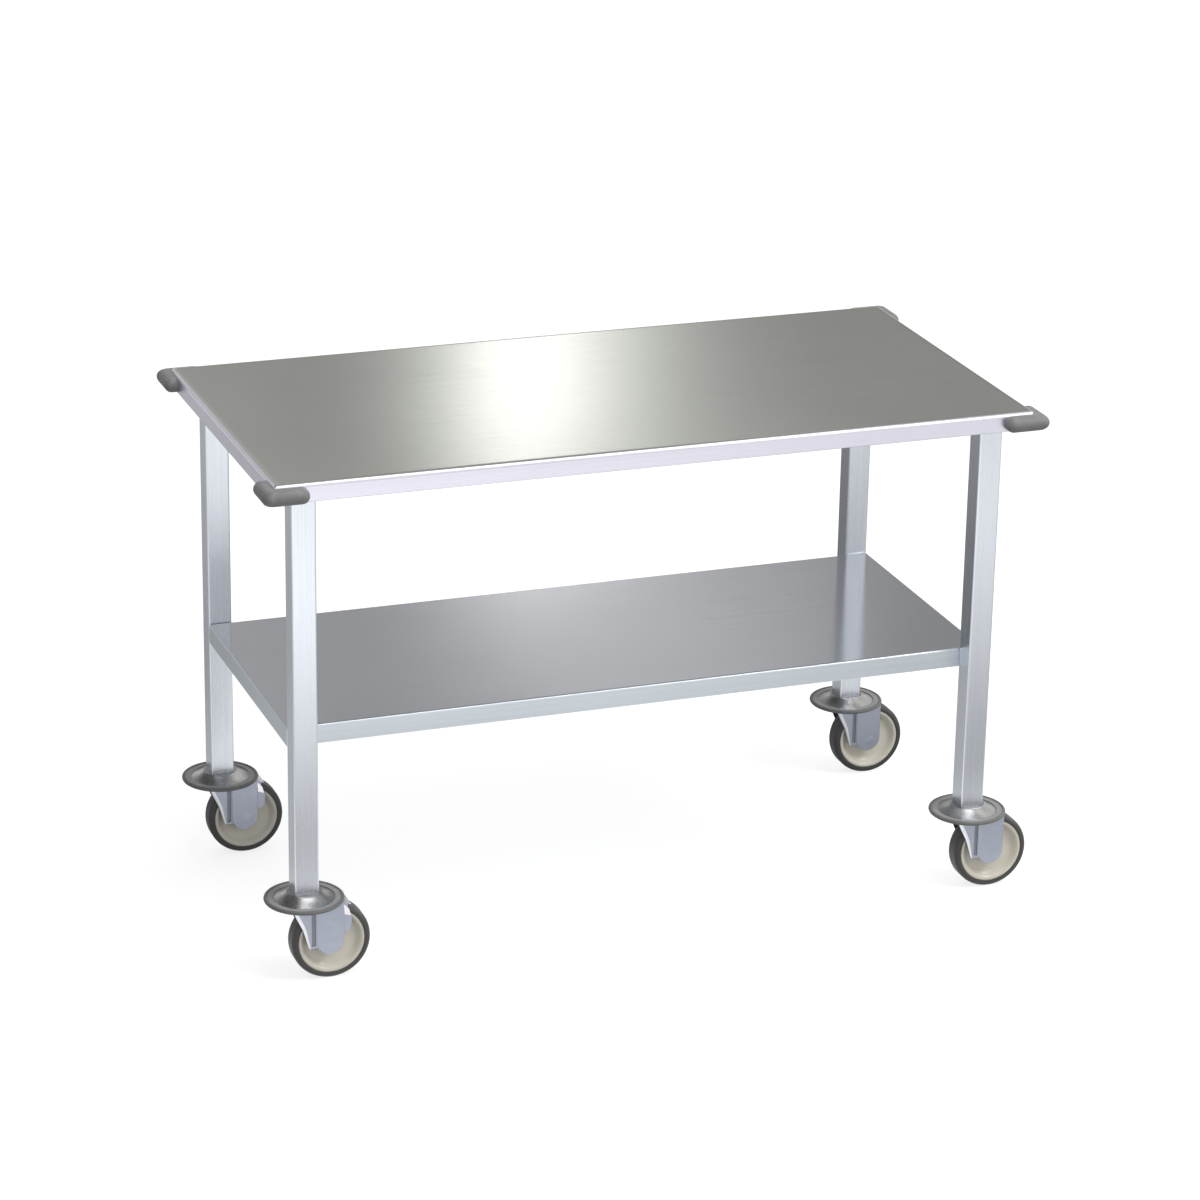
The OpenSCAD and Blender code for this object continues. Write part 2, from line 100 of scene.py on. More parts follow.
def feed(tree, socket, value):
    """Sets a socket to a number or colour, or links another node's output to it."""
    if isinstance(value, (int, float, tuple)):
        socket.default_value = value
    else:
        tree.links.new(value, socket)


def math_node(tree, operation, a, b):
    node = add_node(tree, "ShaderNodeMath", operation=operation)
    feed(tree, node.inputs[0], a)
    feed(tree, node.inputs[1], b)
    return node.outputs[0]


def seen_straight(tree):
    """1 where a ray comes from the camera, a reflection or through glass."""
    path = add_node(tree, "ShaderNodeLightPath").outputs
    seen = math_node(tree, "MAXIMUM", path["Is Camera Ray"], path["Is Glossy Ray"])
    return math_node(tree, "MAXIMUM", seen, path["Is Transmission Ray"])


def soft_step(tree, place, start, end, first=0.0, last=1.0):
    """Goes from the first value to the last one between two places."""
    step = add_node(tree, "ShaderNodeMapRange", interpolation_type="SMOOTHSTEP")
    for label, value in (("From Min", start), ("From Max", end), ("To Min", first), ("To Max", last)):
        step.inputs[label].default_value = value
    tree.links.new(place, step.inputs["Value"])
    return step.outputs["Result"]


def blend_values(tree, factor, one, two):
    """A value that goes from one to two with the factor."""
    node = add_node(tree, "ShaderNodeMix", data_type="FLOAT")
    for place, value in ((0, factor), (2, one), (3, two)):
        feed(tree, node.inputs[place], value)
    return node.outputs[0]


def mix_colour(tree, factor, one, two):
    """A colour that goes from one to two with the factor."""
    node = add_node(tree, "ShaderNodeMix", data_type="RGBA")
    for place, value in ((0, factor), (6, one), (7, two)):
        feed(tree, node.inputs[place], value)
    return node.outputs[2]


print("shader helpers: add_node, feed, math_node, seen_straight, soft_step, blend_values, mix_colour")

# %% [markdown]
# The photograph has a pure white background, so the world is white for the camera. The light that
# falls on the table is weaker, and weakest from the left, so pale steel doesn't burn out. Steel
# mirrors a white room in front and a room of several tones behind, as steel in a studio does.

# %% World
WHITE = (1, 1, 1, 1)
FILL_STRENGTH, FILL_LEFT = 0.8, 0.25
FILL_FROM, FILL_TO = -0.9, 0.6
FRONT_ENDS, BACK_STARTS = -0.25, 0.05
# What steel mirrors behind the table, as steps that add up from left to right: where a step
# starts and ends, and its first and last tone
BEHIND_STEPS = ((-0.64, -0.5, 0.5, 0.1), (-0.2, 0.35, 0.0, 0.45), (0.42, 0.6, 0.0, 1.0),
    (0.6, 0.7, 0.0, -0.7))
world = bpy.data.worlds.new("studio")
bpy.context.scene.world = world
world.use_nodes = True
sky = world.node_tree
sky.nodes.clear()
facing = add_node(sky, "ShaderNodeSeparateXYZ")
sky.links.new(add_node(sky, "ShaderNodeTexCoord").outputs["Generated"], facing.inputs[0])
to_right, to_back = facing.outputs["X"], facing.outputs["Y"]
fill = soft_step(sky, to_right, FILL_FROM, FILL_TO, FILL_LEFT, FILL_STRENGTH)
behind = soft_step(sky, to_right, *BEHIND_STEPS[0])
for step in BEHIND_STEPS[1:]:
    behind = math_node(sky, "ADD", behind, soft_step(sky, to_right, *step))
mirrored = blend_values(sky, soft_step(sky, to_back, FRONT_ENDS, BACK_STARTS), 1.0, behind)
path = add_node(sky, "ShaderNodeLightPath").outputs
seen = math_node(sky, "MAXIMUM", path["Is Camera Ray"], path["Is Transmission Ray"])
strength = blend_values(sky, path["Is Glossy Ray"], fill, mirrored)
strength = blend_values(sky, seen, strength, 1.0)
studio = add_node(sky, "ShaderNodeBackground")
studio.inputs["Color"].default_value = WHITE
sky.links.new(strength, studio.inputs["Strength"])
sky.links.new(studio.outputs[0], add_node(sky, "ShaderNodeOutputWorld").inputs["Surface"])
print("world: white to the camera, fill", FILL_STRENGTH)

# %% [markdown]
# Two large soft lamps light the table, one high up at the front right and one overhead, a little
# to the front. They are large, so every shadow has a soft edge.

# %% Lamps
def aim(obj, place, target):
    place, target = Vector(place), Vector(target)
    turn = (target - place).to_track_quat("-Z", "Y").to_matrix().to_4x4()
    obj.matrix_world = Matrix.Translation(place) @ turn


def add_lamp(name, place, target, size, watts):
    data = bpy.data.lights.new(name, "AREA")
    data.shape, (data.size, data.size_y) = "RECTANGLE", size
    data.energy = watts
    lamp = bpy.data.objects.new(name, data)
    bpy.context.scene.collection.objects.link(lamp)
    aim(lamp, place, target)


TABLE_MIDDLE = (0, 0, 0.45)
# Name, place in metres, size in metres and power in watts
LAMPS = (("key", (3.2, -2.7, 3.9), (1.7, 1.7), 80), ("overhead", (0.2, -0.9, 3.8), (2.6, 1.8), 45))
for name, place, size, watts in LAMPS:
    add_lamp(name, place, TABLE_MIDDLE, size, watts)

# %% [markdown]
# Smooth steel is a soft mirror, so it needs something to mirror. A reflection sheet is a flat face
# that glows in several tones. Only reflections see it, so it lights nothing and the camera's
# background stays white. Its tones are pairs of a place and a tone, with soft steps between them.

# %% Reflection sheets
def reflection_sheet(name, low, high, placed):
    """A flat glowing sheet that only reflections see. Gives its shader tree and its X and Y."""
    mesh = bpy.data.meshes.new(name)
    corners = ((low[0], low[1], 0), (high[0], low[1], 0), (high[0], high[1], 0), (low[0], high[1], 0))
    mesh.from_pydata(corners, [], [(0, 1, 2, 3)])
    sheet = bpy.data.objects.new(name, mesh)
    sheet.matrix_world = placed
    bpy.context.scene.collection.objects.link(sheet)
    material = bpy.data.materials.new(name)
    material.use_nodes = True
    mesh.materials.append(material)
    sheet.visible_camera = sheet.visible_shadow = sheet.visible_diffuse = sheet.visible_transmission = False
    tree = material.node_tree
    tree.nodes.clear()
    split = add_node(tree, "ShaderNodeSeparateXYZ")
    tree.links.new(add_node(tree, "ShaderNodeTexCoord").outputs["Object"], split.inputs[0])
    return tree, split.outputs["X"], split.outputs["Y"]


def tone_curve(tree, place, stops, scale=1.0):
    """Glow along a line, from pairs of (place, glow)."""
    low, high = stops[0][0], stops[-1][0]
    reach = add_node(tree, "ShaderNodeMapRange")
    reach.inputs["From Min"].default_value, reach.inputs["From Max"].default_value = low * scale, high * scale
    tree.links.new(place, reach.inputs["Value"])
    ramp = add_node(tree, "ShaderNodeValToRGB")
    ramp.color_ramp.interpolation = "EASE"
    while len(ramp.color_ramp.elements) < len(stops):
        ramp.color_ramp.elements.new(0.5)
    for stop, (at, tone) in zip(ramp.color_ramp.elements, stops):
        stop.position = (at - low) / (high - low)
        stop.color = grey(tone)
    tree.links.new(reach.outputs["Result"], ramp.inputs["Fac"])
    return ramp.outputs["Color"]


def grey(tone):
    return (tone, tone, tone, 1)


def let_glow(tree, tone, factor=None):
    glow = add_node(tree, "ShaderNodeEmission")
    tree.links.new(tone, glow.inputs["Color"])
    if factor is not None:
        tree.links.new(factor, glow.inputs["Strength"])
    tree.links.new(glow.outputs[0], add_node(tree, "ShaderNodeOutputMaterial").inputs["Surface"])


print("sheet helpers: reflection_sheet, tone_curve, grey, let_glow")

# %% [markdown]
# The first sheet stands far behind the table, square to the view. It is grey with a glowing strip,
# which lies in the top as the pale band of the photograph. High up it is one grey on the left and
# white on the right, for views from above.

# %% Sheet behind the table
BACK_AWAY = 66.0
DEGREE = BACK_AWAY * math.tan(math.radians(1))
# Pairs of a place, in degrees to the right of the view, and a tone
TOP_TONES = ((-8, 0.5), (-5.4, 0.44), (-4.6, 0.39), (-3.8, 0.44), (-3.0, 0.66), (-2.4, 1.15), (-1.9, 1.9),
    (-1.3, 2.6), (-0.7, 2.3), (-0.3, 1.75), (0.3, 1.2), (0.9, 0.82), (1.5, 0.58), (2.2, 0.45), (3.2, 0.38),
    (4.5, 0.4), (8, 0.42))
SHELF_TONES = ((-8, 0.56), (-5, 0.55), (-3.8, 0.43), (-2.4, 0.42), (-1.2, 0.5), (0, 0.66), (1.2, 0.74),
    (2.4, 0.7), (3.3, 0.62), (4.0, 0.48), (4.7, 0.34), (8, 0.36))
LOW_TONE, HIGH_TONE = 0.3, 0.45
# The sheet's corners, and the places on it where one tone turns into the next, in metres
SHEET_LOW, SHEET_HIGH = (-60, 1), (60, 64)
TOP_TO_SHELF, INTO_LOW, INTO_HIGH, FADE_FOOT = (21.0, 22.2), (18.6, 15.5), (27.4, 29.0), (10, 2)
FADE_RIGHT, FADE_LEFT, HIGH_ACROSS = (12, 25), (-12, -25), (26, 6)
right = Vector((math.cos(CAMERA_YAW), -math.sin(CAMERA_YAW), 0))
ahead = Vector((math.sin(CAMERA_YAW), math.cos(CAMERA_YAW), 0))
upright = Matrix((right, Vector((0, 0, 1)), right.cross(Vector((0, 0, 1))))).transposed().to_4x4()
foot = Vector((CAMERA_PLACE.x, CAMERA_PLACE.y, 0)) + BACK_AWAY * ahead
tree, across, up = reflection_sheet("back_sheet", SHEET_LOW, SHEET_HIGH, Matrix.Translation(foot) @ upright)
tone = mix_colour(tree, soft_step(tree, up, *TOP_TO_SHELF), tone_curve(tree, across, TOP_TONES, DEGREE),
    tone_curve(tree, across, SHELF_TONES, DEGREE))
tone = mix_colour(tree, soft_step(tree, up, *INTO_LOW), tone, grey(LOW_TONE))
for place, ends in ((across, FADE_RIGHT), (across, FADE_LEFT), (up, FADE_FOOT)):
    tone = mix_colour(tree, soft_step(tree, place, *ends), tone, WHITE)
high = soft_step(tree, up, *INTO_HIGH)
high_left = math_node(tree, "MULTIPLY", high, soft_step(tree, across, *HIGH_ACROSS))
tone = mix_colour(tree, high_left, mix_colour(tree, high, tone, WHITE), grey(HIGH_TONE))
let_glow(tree, tone)
print("sheet behind the table,", BACK_AWAY, "m from the camera")

# %% [markdown]
# Upright steel faces mirror the floor. In the photograph that floor is bright far in front, grey
# nearer the table, and darker behind it, where the table shades it. A sheet just above the floor
# has those tones: a painted reflection of the lit floor with the table's painted shadow in it.

# %% Floor tones for reflections
# Pairs of a place in metres and a tone: front to back in front, left to right behind
FRONT_TONES = ((-3.4, 1.0), (-2.4, 1.2), (-2.1, 1.9), (-1.75, 2.1), (-1.58, 1.25), (-1.3, 1.05), (-1.1, 0.9),
    (-0.92, 0.62), (-0.75, 0.46), (-0.62, 0.75), (-0.5, 1.2), (-0.15, 1.2), (0.2, 0.55), (0.8, 0.55),
    (3.4, 0.55))
BEHIND_TONES = ((-1.9, 0.6), (-1.3, 0.52), (-1.0, 0.44), (-0.5, 0.25), (0.2, 0.2), (1.5, 0.35))
TONES_X, TONES_Y = 3.2, 3.4
FRONT_TO_BEHIND, DIM_TO_RIGHT = (0.6, 1.2), (0.3, 1.1, 1.0, 0.76)
tree, along, away = reflection_sheet("floor_tones", (-TONES_X, -TONES_Y), (TONES_X, TONES_Y),
    Matrix.Translation((0, 0, MM)))
front, rear = tone_curve(tree, away, FRONT_TONES), tone_curve(tree, along, BEHIND_TONES)
tone = mix_colour(tree, soft_step(tree, away, *FRONT_TO_BEHIND), front, rear)
let_glow(tree, tone, soft_step(tree, along, *DIM_TO_RIGHT))
print("floor tones:", len(FRONT_TONES), "in front,", len(BEHIND_TONES), "behind")

# %% [markdown]
# The floor is pale and large. The camera sees it white, and only the soft shadow under the
# wheels stays. It is a grey face that also glows for the camera, because glow alone would show
# no shadow.

# %% Floor
FLOOR_GLOW, FLOOR_COLOUR, FLOOR_HALF = 0.78, 0.42, 40.0
floor_mesh = bpy.data.meshes.new("floor")
floor_corners = [(x * FLOOR_HALF, y * FLOOR_HALF, 0) for x, y in ((-1, -1), (1, -1), (1, 1), (-1, 1))]
floor_mesh.from_pydata(floor_corners, [], [(0, 1, 2, 3)])
floor = bpy.data.objects.new("floor", floor_mesh)
bpy.context.scene.collection.objects.link(floor)
floor_material = bpy.data.materials.new("floor")
floor_material.use_nodes = True
floor_tree = floor_material.node_tree
floor_shader = floor_tree.nodes["Principled BSDF"]
floor_shader.inputs["Base Color"].default_value = grey(FLOOR_COLOUR)
floor_shader.inputs["Roughness"].default_value = 0.9
floor_shader.inputs["Specular IOR Level"].default_value = 0
floor_shader.inputs["Emission Strength"].default_value = FLOOR_GLOW
floor_tree.links.new(seen_straight(floor_tree), floor_shader.inputs["Emission Color"])
floor_mesh.materials.append(floor_material)
print("floor:", 2 * FLOOR_HALF, "m wide")

# %% [markdown]
# Brushed steel has long fine lines along one direction. One group makes them from stretched
# noise, for every steel part, and gives streaks, a finer grain and large soft clouds.

# %% Steel group
def new_group(name, inputs, outputs):
    group = bpy.data.node_groups.new(name, "ShaderNodeTree")
    for label, kind, value in inputs:
        socket = group.interface.new_socket(label, in_out="INPUT", socket_type=kind)
        socket.default_value = value
    for label, kind in outputs:
        group.interface.new_socket(label, in_out="OUTPUT", socket_type=kind)
    return group, add_node(group, "NodeGroupInput"), add_node(group, "NodeGroupOutput")


def noise(tree, vector, scale, detail=3.0, roughness=0.55):
    node = add_node(tree, "ShaderNodeTexNoise")
    node.inputs["Scale"].default_value = scale
    node.inputs["Detail"].default_value = detail
    node.inputs["Roughness"].default_value = roughness
    tree.links.new(vector, node.inputs["Vector"])
    return node.outputs["Fac"]


def spread(tree, value, low, high):
    """Moves low..high to 0..1."""
    node = add_node(tree, "ShaderNodeMapRange", clamp=True)
    node.inputs["From Min"].default_value = low
    node.inputs["From Max"].default_value = high
    tree.links.new(value, node.inputs["Value"])
    return node.outputs["Result"]


grain_group, g_in, g_out = new_group("brushed_grain",
    [("Stretch", "NodeSocketVector", (1, 1, 1))],
    [("Streaks", "NodeSocketFloat"), ("Grain", "NodeSocketFloat"), ("Clouds", "NodeSocketFloat"),
     ("Height", "NodeSocketFloat")])
g_place = add_node(grain_group, "ShaderNodeTexCoord").outputs["Object"]
g_scaled = add_node(grain_group, "ShaderNodeVectorMath", operation="MULTIPLY")
grain_group.links.new(g_place, g_scaled.inputs[0])
grain_group.links.new(g_in.outputs["Stretch"], g_scaled.inputs[1])
g_streaks = spread(grain_group, noise(grain_group, g_scaled.outputs[0], 1.0, 4.0, 0.6), 0.3, 0.7)
g_grain = spread(grain_group, noise(grain_group, g_scaled.outputs[0], 5.0, 2.0, 0.5), 0.3, 0.7)
g_clouds = spread(grain_group, noise(grain_group, g_place, 5.0, 3.0, 0.5), 0.35, 0.65)
g_height = math_node(grain_group, "ADD", math_node(grain_group, "MULTIPLY", g_streaks, 0.4), g_grain)
for label, value in (("Streaks", g_streaks), ("Grain", g_grain), ("Clouds", g_clouds), ("Height", g_height)):
    grain_group.links.new(value, g_out.inputs[label])
print("group:", grain_group.name)

# %% [markdown]
# Rubber, plastic and zinc parts carry scuffs and a little dust. A second group gives a mask of
# short scuffs, a fine speckle and the dust that settles on faces that look up.

# %% Scuff group
scuff_group, s_in, s_out = new_group("scuffs_and_dust",
    [("Size", "NodeSocketFloat", 60.0)],
    [("Scuffs", "NodeSocketFloat"), ("Speckle", "NodeSocketFloat"), ("Dust", "NodeSocketFloat"),
     ("Height", "NodeSocketFloat")])
s_place = add_node(scuff_group, "ShaderNodeTexCoord").outputs["Object"]
s_wide = add_node(scuff_group, "ShaderNodeTexNoise")
s_wide.inputs["Detail"].default_value = 5.0
scuff_group.links.new(s_place, s_wide.inputs["Vector"])
scuff_group.links.new(s_in.outputs["Size"], s_wide.inputs["Scale"])
s_scuffs = spread(scuff_group, s_wide.outputs["Fac"], 0.55, 0.75)
s_speckle = noise(scuff_group, s_place, 900.0, 2.0)
s_up = add_node(scuff_group, "ShaderNodeSeparateXYZ")
scuff_group.links.new(add_node(scuff_group, "ShaderNodeNewGeometry").outputs["Normal"], s_up.inputs[0])
s_dust = math_node(scuff_group, "MULTIPLY", math_node(scuff_group, "MAXIMUM", s_up.outputs["Z"], 0.0),
    spread(scuff_group, noise(scuff_group, s_place, 35.0, 4.0), 0.35, 0.7))
s_height = math_node(scuff_group, "ADD", math_node(scuff_group, "MULTIPLY", s_scuffs, 0.5), s_speckle)
for label, value in (("Scuffs", s_scuffs), ("Speckle", s_speckle), ("Dust", s_dust), ("Height", s_height)):
    scuff_group.links.new(value, s_out.inputs[label])
print("group:", scuff_group.name)

# %% [markdown]
# Two makers turn these groups into materials. The steel maker mixes close colours along the
# streaks and clouds, and varies the roughness with the finer grain. The other maker does the
# same with scuffs, dust and speckle for rubber, plastic and zinc.

# %% Material makers
CLOUD_SHARE, BUMP_DEPTH, MOULDED_BUMP = 0.35, 0.0001, 0.2
DUST = (0.5, 0.49, 0.46, 1)


def shade(colour, factor):
    return tuple(min(1, c * factor) for c in colour) + (1,)


def use_group(tree, group, **values):
    node = add_node(tree, "ShaderNodeGroup", node_tree=group)
    for key, value in values.items():
        node.inputs[key].default_value = value
    return node


def add_bump(tree, shader, height, strength):
    bump = add_node(tree, "ShaderNodeBump")
    bump.inputs["Strength"].default_value = strength
    bump.inputs["Distance"].default_value = BUMP_DEPTH
    tree.links.new(height, bump.inputs["Height"])
    tree.links.new(bump.outputs["Normal"], shader.inputs["Normal"])


def steel(name, colour, stretch, roughness, contrast=0.12, bump=0.15):
    material = bpy.data.materials.new(name)
    material.use_nodes = True
    tree = material.node_tree
    shader = tree.nodes["Principled BSDF"]
    shader.inputs["Metallic"].default_value = 1
    grain = use_group(tree, grain_group, Stretch=stretch)
    dark = shade(colour, 1 - contrast)
    streaky = mix_colour(tree, grain.outputs["Streaks"], dark, shade(colour, 1 + contrast))
    cloudy = mix_colour(tree, grain.outputs["Clouds"], dark, shade(colour, 1 + contrast / 2))
    tree.links.new(mix_colour(tree, CLOUD_SHARE, streaky, cloudy), shader.inputs["Base Color"])
    rough = add_node(tree, "ShaderNodeMapRange")
    rough.inputs["To Min"].default_value, rough.inputs["To Max"].default_value = roughness
    tree.links.new(grain.outputs["Grain"], rough.inputs["Value"])
    tree.links.new(rough.outputs["Result"], shader.inputs["Roughness"])
    add_bump(tree, shader, grain.outputs["Height"], bump)
    return material


def moulded(name, colour, roughness=(0.45, 0.6), metallic=0.0, scuff=1.25, dust_share=0.15, coat=0.0):
    material = bpy.data.materials.new(name)
    material.use_nodes = True
    tree = material.node_tree
    shader = tree.nodes["Principled BSDF"]
    shader.inputs["Metallic"].default_value = metallic
    shader.inputs["Coat Weight"].default_value = coat
    wear = use_group(tree, scuff_group)
    tone = mix_colour(tree, wear.outputs["Scuffs"], shade(colour, 1), shade(colour, scuff))
    settled = math_node(tree, "MULTIPLY", wear.outputs["Dust"], dust_share)
    tree.links.new(mix_colour(tree, settled, tone, DUST), shader.inputs["Base Color"])
    rough = add_node(tree, "ShaderNodeMapRange")
    rough.inputs["To Min"].default_value, rough.inputs["To Max"].default_value = roughness
    tree.links.new(wear.outputs["Speckle"], rough.inputs["Value"])
    tree.links.new(rough.outputs["Result"], shader.inputs["Roughness"])
    add_bump(tree, shader, wear.outputs["Height"], MOULDED_BUMP)
    return material


print("material makers: steel, moulded")


# %% [markdown]
# Each part of the table has its own tone. The top is an olive grey, the shelf a little bluer,
# and the legs lighter. The rolled edges of the top and the shelf are the same steel as their faces,
# with a lighter colour as a painted highlight. Every solid gets the material of its slot, also
# those that no finer piece replaces.

# %% Materials
ALONG_X, ALONG_Z, EVEN = (2.0, 380.0, 380.0), (380.0, 380.0, 2.0), (60.0, 60.0, 60.0)
MATERIALS = {
    "top_steel": steel("top_steel", (0.55, 0.565, 0.515), ALONG_X, (0.1, 0.14), 0.05, bump=0.05),
    "shelf_steel": steel("shelf_steel", (0.55, 0.56, 0.59), ALONG_X, (0.12, 0.16), 0.05, bump=0.05),
    # The rolled edges of the top and the shelf: lighter copies of their steel, a painted highlight
    "edge_steel": steel("edge_steel", (0.66, 0.655, 0.73), ALONG_X, (0.28, 0.36), 0.05),
    "shelf_edge_steel": steel("shelf_edge_steel", (0.6, 0.65, 0.69), ALONG_X, (0.28, 0.36), 0.05),
    "leg_steel": steel("leg_steel", (0.64, 0.67, 0.72), ALONG_Z, (0.24, 0.32), 0.05),
    "frame_steel": steel("frame_steel", (0.5, 0.5, 0.51), ALONG_X, (0.35, 0.5)),
    "dish_steel": steel("dish_steel", (0.4, 0.4, 0.395), EVEN, (0.26, 0.36), 0.08),
    "fork_zinc": moulded("fork_zinc", (0.36, 0.385, 0.455), (0.34, 0.46), 1.0, 1.08, dust_share=0.05),
    # The fork's rolled front edge is a lighter copy of its zinc, a painted highlight; the flute is a darker
    # copy, painted shade
    "fork_edge": moulded("fork_edge", (0.72, 0.73, 0.77), (0.3, 0.4), 1.0, 1.05, dust_share=0.03),
    "fork_shade": moulded("fork_shade", (0.23, 0.23, 0.265), (0.5, 0.6), 1.0, 1.1, dust_share=0.02),
    # The pedal's tread and folded edges: a near-white copy of the pedal's metal, a painted highlight
    "pedal_steel": steel("pedal_steel", (0.86, 0.86, 0.88), EVEN, (0.2, 0.3), 0.03),
    "zinc": moulded("zinc", (0.55, 0.56, 0.58), (0.35, 0.5), 1.0, 1.1, dust_share=0.1),
    "bearing_steel": steel("bearing_steel", (0.7, 0.7, 0.72), EVEN, (0.1, 0.2), 0.04),
    "bumper_rubber": moulded("bumper_rubber", (0.19, 0.19, 0.192), (0.5, 0.65)),
    "ring_face": moulded("ring_face", (0.3, 0.3, 0.29), (0.32, 0.45), dust_share=0.1),
    "ring_lip": moulded("ring_lip", (0.15, 0.15, 0.147), (0.45, 0.6), dust_share=0.08),
    "tyre_rubber": moulded("tyre_rubber", (0.055, 0.053, 0.052), (0.45, 0.6), dust_share=0.3),
    "hub_plastic": moulded("hub_plastic", (0.79, 0.75, 0.64), (0.3, 0.4), scuff=0.95, dust_share=0.1,
        coat=0.2),
}
slots = {row["node"]: row["material_slot"] for row in frame["record"]["subparts"]}
for name, node in frame["nodes"].items():
    node.data.materials.clear()
    node.data.materials.append(MATERIALS[slots[name]])
print("materials:", len(MATERIALS))

# %% [markdown]
# Every finer piece is made from rings of points that are joined by faces. A ring is a rounded
# rectangle or a circle, so the same few helpers make the top, the shelf, the legs and the wheels.

# %% Mesh helpers
def rounded_ring(half_x, half_y, radius, z, centre=(0, 0), steps=6):
    """Points of a level rounded rectangle, anticlockwise."""
    radius = max(radius, 0.02 * MM)
    points = []
    for quarter, (sx, sy) in enumerate(((1, 1), (-1, 1), (-1, -1), (1, -1))):
        for k in range(steps + 1):
            turn = math.radians(90 * (quarter + k / steps))
            points.append(Vector((centre[0] + sx * (half_x - radius) + radius * math.cos(turn),
                centre[1] + sy * (half_y - radius) + radius * math.sin(turn), z)))
    return points


def loft(mesh, rings, closed=False):
    """Joins rings of equal length with faces, and caps both ends unless they join as well."""
    rows = [[mesh.verts.new(p) for p in ring] for ring in rings]
    count = len(rows[0])
    pairs = list(zip(rows, rows[1:])) + ([(rows[-1], rows[0])] if closed else [])
    for one, two in pairs:
        for i in range(count):
            j = (i + 1) % count
            mesh.faces.new((one[i], one[j], two[j], two[i]))
    if not closed:
        mesh.faces.new(rows[0][::-1])
        mesh.faces.new(rows[-1])


def lathe(mesh, profile, centre, axis="z", segments=96):
    """Turns a profile of (radius, height) points round an axis through the centre."""
    rings = []
    for radius, height in profile:
        ring = []
        for k in range(segments):
            turn = 2 * math.pi * k / segments
            a, b = radius * math.cos(turn), radius * math.sin(turn)
            ring.append(centre + (Vector((a, b, height)) if axis == "z" else Vector((a, height, b))))
        rings.append(ring)
    loft(mesh, rings, closed=True)


def plate(mesh, outline, y0, y1, centre):
    """An outline in X and Z, made solid from y0 to y1."""
    loft(mesh, [[centre + Vector((x, y, z)) for x, z in outline] for y in (y0, y1)])


def arc(centre, radius, start, end, steps=12):
    """Points of an arc in a plane, angles in degrees."""
    turns = [math.radians(start + (end - start) * k / steps) for k in range(steps + 1)]
    return [(centre[0] + radius * math.cos(turn), centre[1] + radius * math.sin(turn)) for turn in turns]


def bevel_sharp(mesh, width, angle=30, segments=2):
    """Rounds every edge where two faces meet at more than an angle."""
    mesh.normal_update()
    edges = [e for e in mesh.edges if len(e.link_faces) == 2 and e.calc_face_angle(0) > math.radians(angle)]
    bmesh.ops.bevel(mesh, geom=edges, offset=width, segments=segments, profile=0.5, affect="EDGES",
        clamp_overlap=True)


print("mesh helpers: rounded_ring, loft, lathe, plate, arc, bevel_sharp")

# %% [markdown]
# A finished mesh becomes an object. Its faces are shaded smooth, edges sharper than an angle stay
# sharp, and weighted normals keep flat faces flat. The piece is then tied to the body it moves
# with and given its material, and the solids it stands for are hidden.

# %% Pieces
def middle(node):
    low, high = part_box(node)
    return (low + high) / 2


def add_piece(name, mesh, body, material, replaces=(), smooth=35):
    """Stores a mesh as a piece that moves with a body and stands for CAD nodes."""
    bmesh.ops.remove_doubles(mesh, verts=mesh.verts, dist=0.002 * MM)
    bmesh.ops.recalc_face_normals(mesh, faces=mesh.faces)
    data = bpy.data.meshes.new(name)
    mesh.to_mesh(data)
    mesh.free()
    data.polygons.foreach_set("use_smooth", [True] * len(data.polygons))
    data.set_sharp_from_angle(angle=math.radians(smooth))
    data.materials.append(material)
    piece = bpy.data.objects.new(name, data)
    bpy.context.scene.collection.objects.link(piece)
    weighted = piece.modifiers.new("weighted", "WEIGHTED_NORMAL")
    weighted.keep_sharp = True
    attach(piece, body)
    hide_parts(*replaces)
    return piece


print("piece helpers: middle, add_piece")

# %% [markdown]
# The top is one sheet. Its edges are rolled down, run down as an apron and fold in again, as a
# press brake leaves them. Rings from the middle of the face outwards, down and back in under
# the sheet give that section all round.

# %% Top and shelf
def folded_sheet(name, node, roll, sheet, flange, bend, tilt, material, edge, hem=1.2 * MM):
    low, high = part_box(node)
    half_x, half_y = (high.x - low.x) / 2, (high.y - low.y) / 2
    centre = ((high.x + low.x) / 2, (high.y + low.y) / 2)

    def ring(inset, z):
        return rounded_ring(half_x - inset, half_y - inset, roll - inset, z, centre)

    def curl(inset, z, radius, start, end, steps):
        return [ring(inset + radius * (1 - math.cos(math.radians(a))), z + radius * math.sin(math.radians(a)))
            for a in (start + (end - start) * k / steps for k in range(steps + 1))]

    lean = math.radians(tilt)
    start = roll + (bend - roll) * math.sin(lean)
    drop = bend * (1 - math.cos(lean)) + roll * math.cos(lean)
    outer = [ring(start + 3 * MM, high.z)]
    outer += [ring(start - bend * math.sin(lean * k / 4), high.z - bend * (1 - math.cos(lean * k / 4)))
        for k in range(4)]
    outer += curl(0, high.z - drop, roll, 90 - tilt, 0, 8)
    outer += curl(0, low.z + hem, hem, 0, -90, 4)
    inner = [ring(flange, low.z), ring(flange, low.z + sheet), ring(sheet, low.z + sheet)]
    inner += curl(sheet, high.z - drop, roll - sheet, 0, 90, 6) + [ring(start + 3 * MM, high.z - sheet)]
    mesh = bmesh.new()
    loft(mesh, outer + inner)
    # Faces at the level of the flat face take the face's steel. The roll, the apron and the folds beneath
    # take the lighter copy of the same steel: a painted highlight.
    for face in mesh.faces:
        face.material_index = 0 if face.calc_center_median().z > high.z - 0.12 * roll else 1
    piece = add_piece(name, mesh, "table", material, [node])
    piece.data.materials.append(edge)


